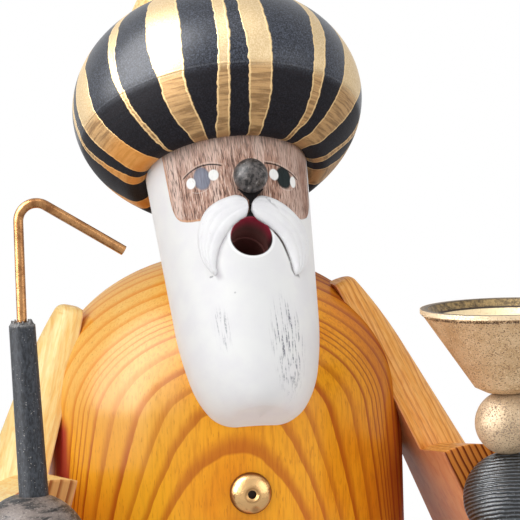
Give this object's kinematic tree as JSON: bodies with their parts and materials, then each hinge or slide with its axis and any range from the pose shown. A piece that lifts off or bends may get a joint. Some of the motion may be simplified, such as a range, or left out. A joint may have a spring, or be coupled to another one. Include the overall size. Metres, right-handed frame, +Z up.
{
  "type": "incense smoker figure",
  "caption": "Turned wooden smoker figure in a turban, holding a goblet and a hooked staff; its hollow upper half lifts off an incense dish and smoke leaves by the mouth.",
  "frame": {"origin": "middle of the flat underside, on the vertical axis of the turned body", "axes": "+Z up along the body's axis, -Y out of the figure's face, +X to the figure's own left, where the goblet is"},
  "size_m": [0.1387, 0.1237, 0.2154],
  "materials": {
    "robe_lacquer": "gloss",
    "sleeve_lacquer": "gloss",
    "plain_wood": "matte",
    "head_paint": "satin",
    "nose_bead": "gloss",
    "turban_paint": "gloss",
    "gold_paint": "metallic paint",
    "dark_stain": "satin",
    "grey_stain": "satin",
    "black_lacquer": "satin",
    "brass": "polished",
    "brass_wire": "bright drawn",
    "steel": "plain",
    "dark_steel": "blackened"
  },
  "bodies": {
    "base": {"base_plate": "robe_lacquer", "base_dowel": "plain_wood", "lower_body": "robe_lacquer", "incense_tray": "brass", "tray_nail": "steel"},
    "upper": {"upper_body": "robe_lacquer", "head": "head_paint", "nose": "nose_bead", "moustache_left": "head_paint", "moustache_right": "head_paint", "turban": "turban_paint", "turban_cap": "gold_paint", "turban_dowel": "plain_wood", "chest_button": "brass", "button_nail": "dark_steel", "left_upper_arm": "sleeve_lacquer", "left_forearm": "sleeve_lacquer", "left_hand": "dark_stain", "right_upper_arm": "sleeve_lacquer", "right_forearm": "sleeve_lacquer", "right_hand": "grey_stain", "left_shoulder_dowel": "plain_wood", "right_shoulder_dowel": "plain_wood", "left_wrist_dowel": "plain_wood", "right_wrist_dowel": "plain_wood", "goblet_bowl": "gold_paint", "goblet_knop": "gold_paint", "goblet_pin": "plain_wood"},
    "staff": {"staff_rod": "black_lacquer", "staff_hook": "brass_wire"}
  },
  "joints": [
    {"name": "upper_half_lift", "type": "slide", "parent": "base", "child": "upper", "axis": [0, 0, 1], "range_m": [0, 0.06]},
    {"name": "staff_pull", "type": "slide", "parent": "upper", "child": "staff", "axis": [-0.0332, 0, 0.9995], "range_m": [0, 0.014]}
  ]
}
